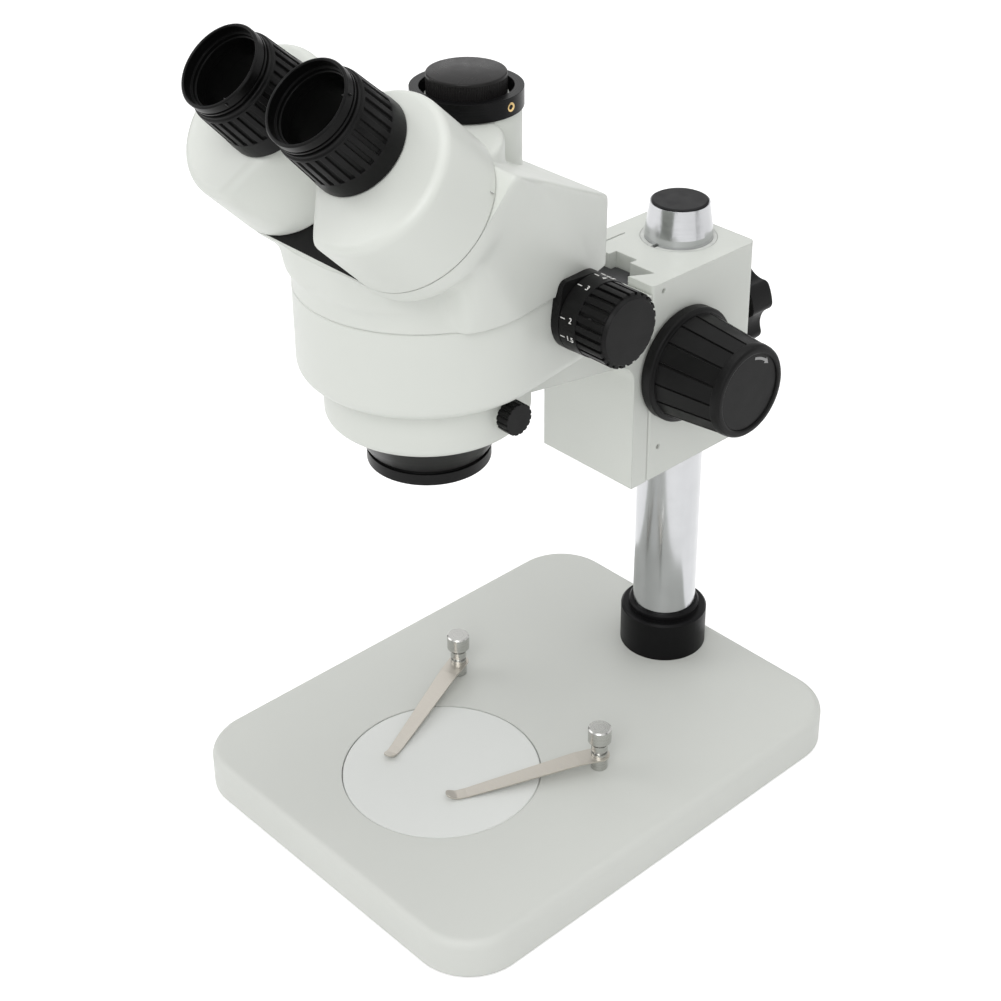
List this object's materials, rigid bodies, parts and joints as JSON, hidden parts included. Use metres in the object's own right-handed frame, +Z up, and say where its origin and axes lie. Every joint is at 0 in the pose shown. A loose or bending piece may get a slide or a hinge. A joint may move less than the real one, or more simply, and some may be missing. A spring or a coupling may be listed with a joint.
{
  "type": "trinocular stereo microscope",
  "caption": "Stereo zoom microscope with two inclined eyepiece tubes and an upright photo port, on a rack and pinion focus block that slides on a pillar over a plain stage base.",
  "frame": {"origin": "on the table under the middle of the base, at the bottom of the rubber feet", "axes": "+Z up, the operator at -Y, the pillar at +Y, the operator's right hand at +X"},
  "size_m": [0.2, 0.2869, 0.3975],
  "materials": {
    "white_paint": "satin powder coat",
    "white_head": "satin enamel",
    "white_acrylic": "semi-gloss",
    "chrome": "polished",
    "black_plastic": "moulded, low sheen",
    "black_metal": "black enamel",
    "black_anodised": "black anodised",
    "dark_steel": "blackened, oiled",
    "steel": "turned",
    "spring_steel": "nickel plated",
    "brass": "turned",
    "rubber": "moulded",
    "acetal": "machined",
    "glass": "polished"
  },
  "bodies": {
    "stand": {"base_plate": "white_paint", "rubber_feet": "rubber", "foot_screws": "steel", "stage_plate": "white_acrylic", "pillar": "chrome", "pillar_foot_plug": "steel", "pillar_bolt": "steel", "pillar_collar": "black_metal", "collar_screw": "steel", "pillar_cap": "black_plastic"},
    "left_clip": {"clip_post_left": "steel", "clip_blade_left": "spring_steel"},
    "right_clip": {"clip_post_right": "steel", "clip_blade_right": "spring_steel"},
    "liner": {"bore_liner": "acetal"},
    "block": {"focus_block": "white_paint", "pinion_bushes": "brass", "gib_screws": "steel", "clamp_shoe": "brass"},
    "column_clamp": {"clamp_knob": "black_plastic", "clamp_stud": "steel"},
    "pinion": {"pinion_shaft": "steel", "focus_knob_left": "black_plastic", "focus_knob_right": "black_plastic", "knob_cap_left": "black_plastic", "knob_cap_right": "black_plastic", "friction_washers": "acetal"},
    "focus_carriage": {"carriage": "white_paint", "dovetail_slide": "dark_steel", "gear_rack": "dark_steel", "slide_screws": "steel"},
    "thumb_screw": {"thumb_knob": "black_plastic", "thumb_stud": "steel"},
    "head": {"zoom_body_lower": "white_head", "zoom_body_upper": "white_head", "head_spigot": "black_anodised", "objective_cell": "black_anodised", "objective_lens": "glass", "prism_seat_plate": "black_anodised", "zoom_bezel_left": "black_plastic", "zoom_bezel_right": "black_plastic", "port_tube": "white_head", "port_flange": "black_metal", "relay_lens": "glass", "zoom_barrels": "black_anodised", "zoom_lenses": "glass"},
    "zoom_control": {"zoom_shaft": "steel", "zoom_knob_left": "black_plastic", "zoom_knob_right": "black_plastic"},
    "left_prism": {"prism_housing_left": "white_head", "erecting_prism_left": "glass", "eyepiece_tube_left": "black_anodised"},
    "right_prism": {"prism_housing_right": "white_head", "erecting_prism_right": "glass", "eyepiece_tube_right": "black_anodised"},
    "left_diopter": {"diopter_ring_left": "black_plastic"},
    "right_diopter": {"diopter_ring_right": "black_plastic"},
    "dust_cap": {"port_cap": "black_plastic"},
    "light_slider": {"splitter_prism": "glass", "splitter_rod": "steel"}
  },
  "joints": [
    {"name": "left_clip_turn", "type": "hinge", "parent": "stand", "child": "left_clip", "pos_m": [-0.05, 0.004, 0.02], "axis": [0, 0, 1], "range_deg": [-110, 11]},
    {"name": "right_clip_turn", "type": "hinge", "parent": "stand", "child": "right_clip", "pos_m": [0.05, 0.004, 0.02], "axis": [0, 0, 1], "range_deg": [-11, 110]},
    {"name": "height_slide", "type": "slide", "parent": "stand", "child": "liner", "axis": [0, 0, 1], "range_m": [-0.085, 0.012]},
    {"name": "block_swing", "type": "hinge", "parent": "liner", "child": "block", "pos_m": [0, 0.1024, 0.2], "axis": [0, 0, 1], "continuous": true},
    {"name": "column_clamp_turn", "type": "hinge", "parent": "block", "child": "column_clamp", "pos_m": [0, 0.13, 0.206], "axis": [0, 1, 0], "range_deg": [-20, 160]},
    {"name": "focus_slide", "type": "slide", "parent": "block", "child": "focus_carriage", "axis": [0, 0, 1], "range_m": [-0.035, 0.012]},
    {"name": "focus_knob_turn", "type": "hinge", "parent": "block", "child": "pinion", "pos_m": [0, 0.0745, 0.2055], "axis": [1, 0, 0], "range_deg": [-115, 333]},
    {"name": "thumb_screw_turn", "type": "hinge", "parent": "focus_carriage", "child": "thumb_screw", "pos_m": [0.045, -0.049, 0.233], "axis": [1, 0, 0], "range_deg": [-90, 270]},
    {"name": "head_swing", "type": "hinge", "parent": "focus_carriage", "child": "head", "pos_m": [0, -0.054, 0.24], "axis": [0, 0, 1], "continuous": true},
    {"name": "zoom_turn", "type": "hinge", "parent": "head", "child": "zoom_control", "pos_m": [0, -0.015, 0.272], "axis": [1, 0, 0], "range_deg": [-120, 90]},
    {"name": "left_prism_turn", "type": "hinge", "parent": "head", "child": "left_prism", "pos_m": [-0.0353, -0.0866, 0.3334], "axis": [0, -0.7071, 0.7071], "range_deg": [0, 66]},
    {"name": "right_prism_turn", "type": "hinge", "parent": "head", "child": "right_prism", "pos_m": [0.0353, -0.0866, 0.3334], "axis": [0, -0.7071, 0.7071], "range_deg": [-66, 0]},
    {"name": "left_diopter_turn", "type": "hinge", "parent": "left_prism", "child": "left_diopter", "pos_m": [-0.026, -0.11382, 0.36982], "axis": [0, -0.7071, 0.7071], "range_deg": [-150, 150]},
    {"name": "right_diopter_turn", "type": "hinge", "parent": "right_prism", "child": "right_diopter", "pos_m": [0.026, -0.11382, 0.36982], "axis": [0, -0.7071, 0.7071], "range_deg": [-150, 150]},
    {"name": "dust_cap_lift", "type": "slide", "parent": "head", "child": "dust_cap", "axis": [0, 0, 1], "range_m": [0, 0.03]},
    {"name": "light_slider_pull", "type": "slide", "parent": "head", "child": "light_slider", "axis": [-1, 0, 0], "range_m": [0, 0.012]}
  ],
  "couplings": [
    {"joint": "focus_knob_turn", "follows": "focus_slide", "rad_per_m": -165.29},
    {"joint": "right_prism_turn", "follows": "left_prism_turn", "ratio": -1}
  ]
}
